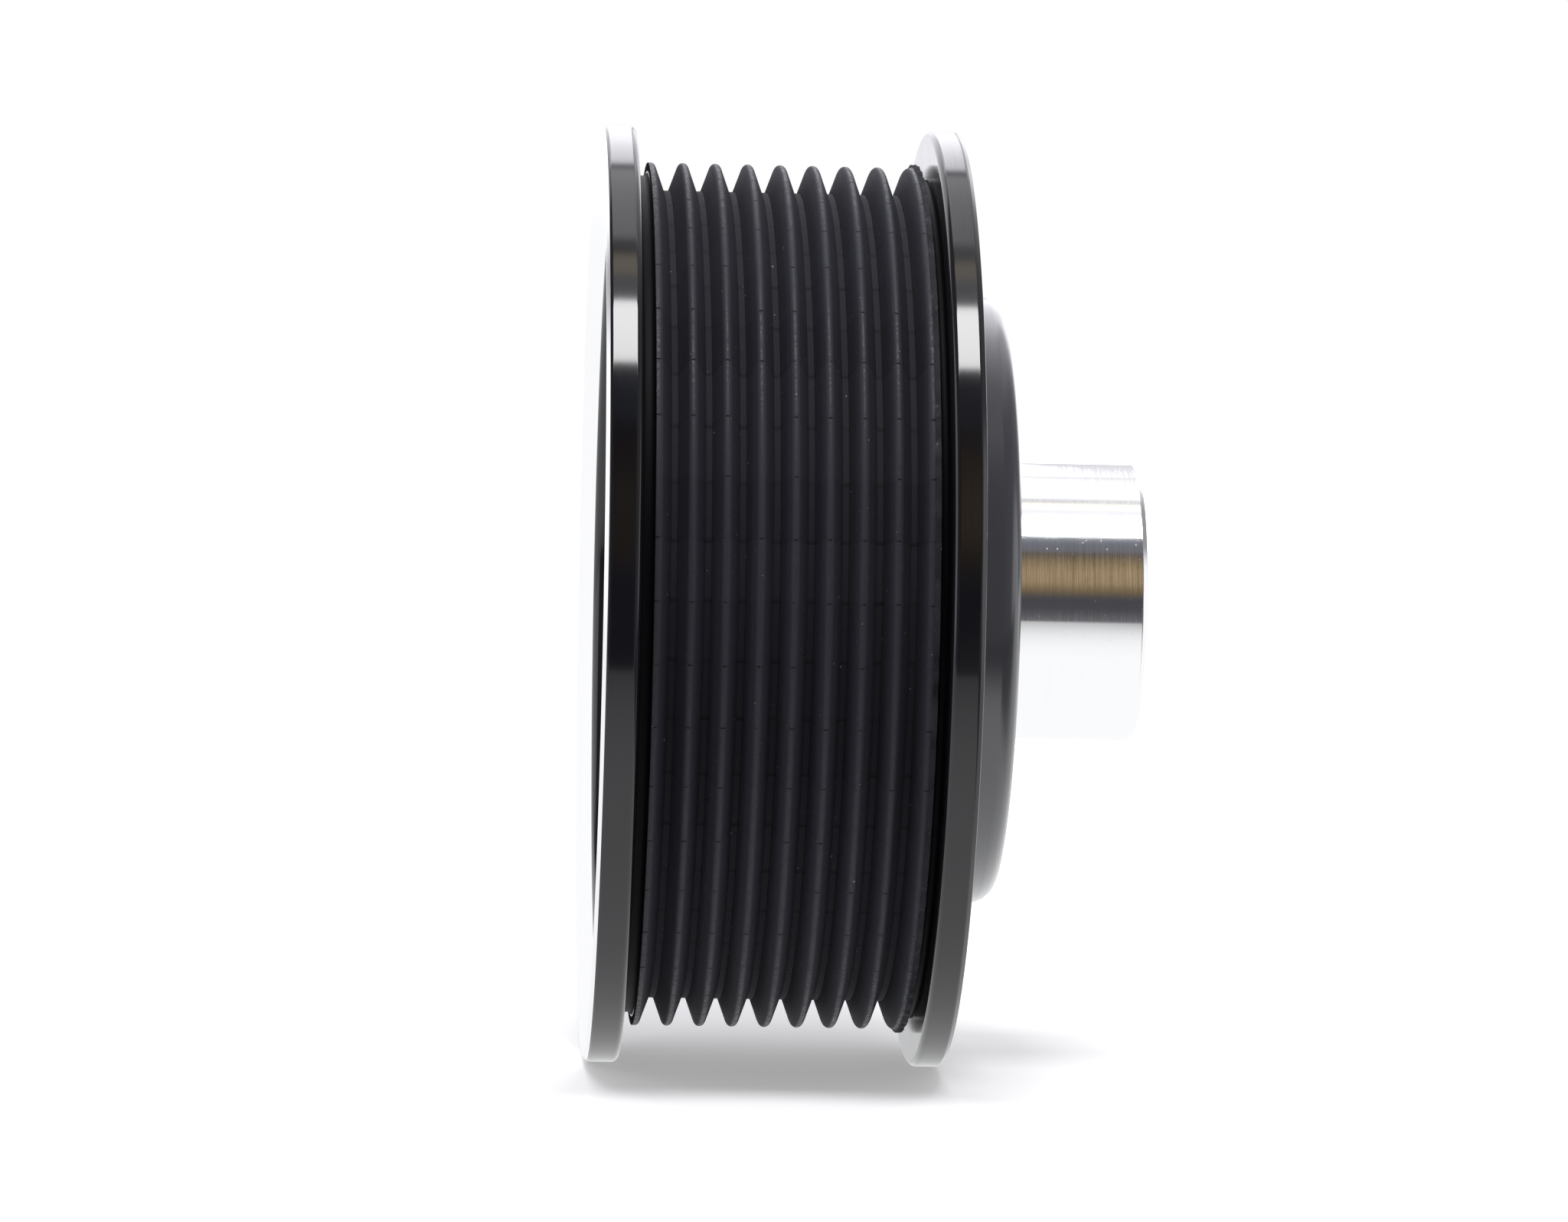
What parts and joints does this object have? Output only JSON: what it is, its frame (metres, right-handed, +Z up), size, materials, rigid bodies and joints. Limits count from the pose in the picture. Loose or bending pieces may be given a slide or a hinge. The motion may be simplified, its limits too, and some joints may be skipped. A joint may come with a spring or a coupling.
{
  "type": "ribbed idler pulley",
  "caption": "Flanged idler pulley for a multi-rib belt: black anodised turned body on sealed ball bearings, with a bare aluminium stand-off spacer for the mounting bolt.",
  "frame": {"origin": "on the spin axis, midway between the two flange faces, inside the bolt hole", "axes": "+Y along the spin axis towards the stand-off's end, +Z up; the open front faces -Y"},
  "size_m": [0.1028, 0.06, 0.1028],
  "materials": {
    "black_anodised": "gloss black anodised, ribs matte",
    "bare_aluminium": "bright turned",
    "spring_steel": "phosphated",
    "bearing_steel": "ground",
    "ball_steel": "polished",
    "cage_steel": "pressed",
    "seal_rubber": "moulded"
  },
  "bodies": {
    "spacer": {"spacer": "bare_aluminium", "front_inner_ring": "bearing_steel", "rear_inner_ring": "bearing_steel"},
    "pulley": {"pulley_body": "black_anodised", "front_outer_ring": "bearing_steel", "rear_outer_ring": "bearing_steel", "front_outside_seal": "seal_rubber", "front_inside_seal": "seal_rubber", "rear_inside_seal": "seal_rubber", "rear_outside_seal": "seal_rubber", "retaining_ring": "spring_steel"},
    "ball_set": {"front_balls": "ball_steel", "front_cage": "cage_steel", "rear_balls": "ball_steel", "rear_cage": "cage_steel"}
  },
  "joints": [
    {"name": "pulley_spin", "type": "hinge", "parent": "spacer", "child": "pulley", "pos_m": [0, 0, 0], "axis": [0, 1, 0], "continuous": true},
    {"name": "ball_orbit", "type": "hinge", "parent": "spacer", "child": "ball_set", "pos_m": [0, 0, 0], "axis": [0, 1, 0], "continuous": true}
  ],
  "couplings": [
    {"joint": "ball_orbit", "follows": "pulley_spin", "ratio": 0.6323}
  ]
}
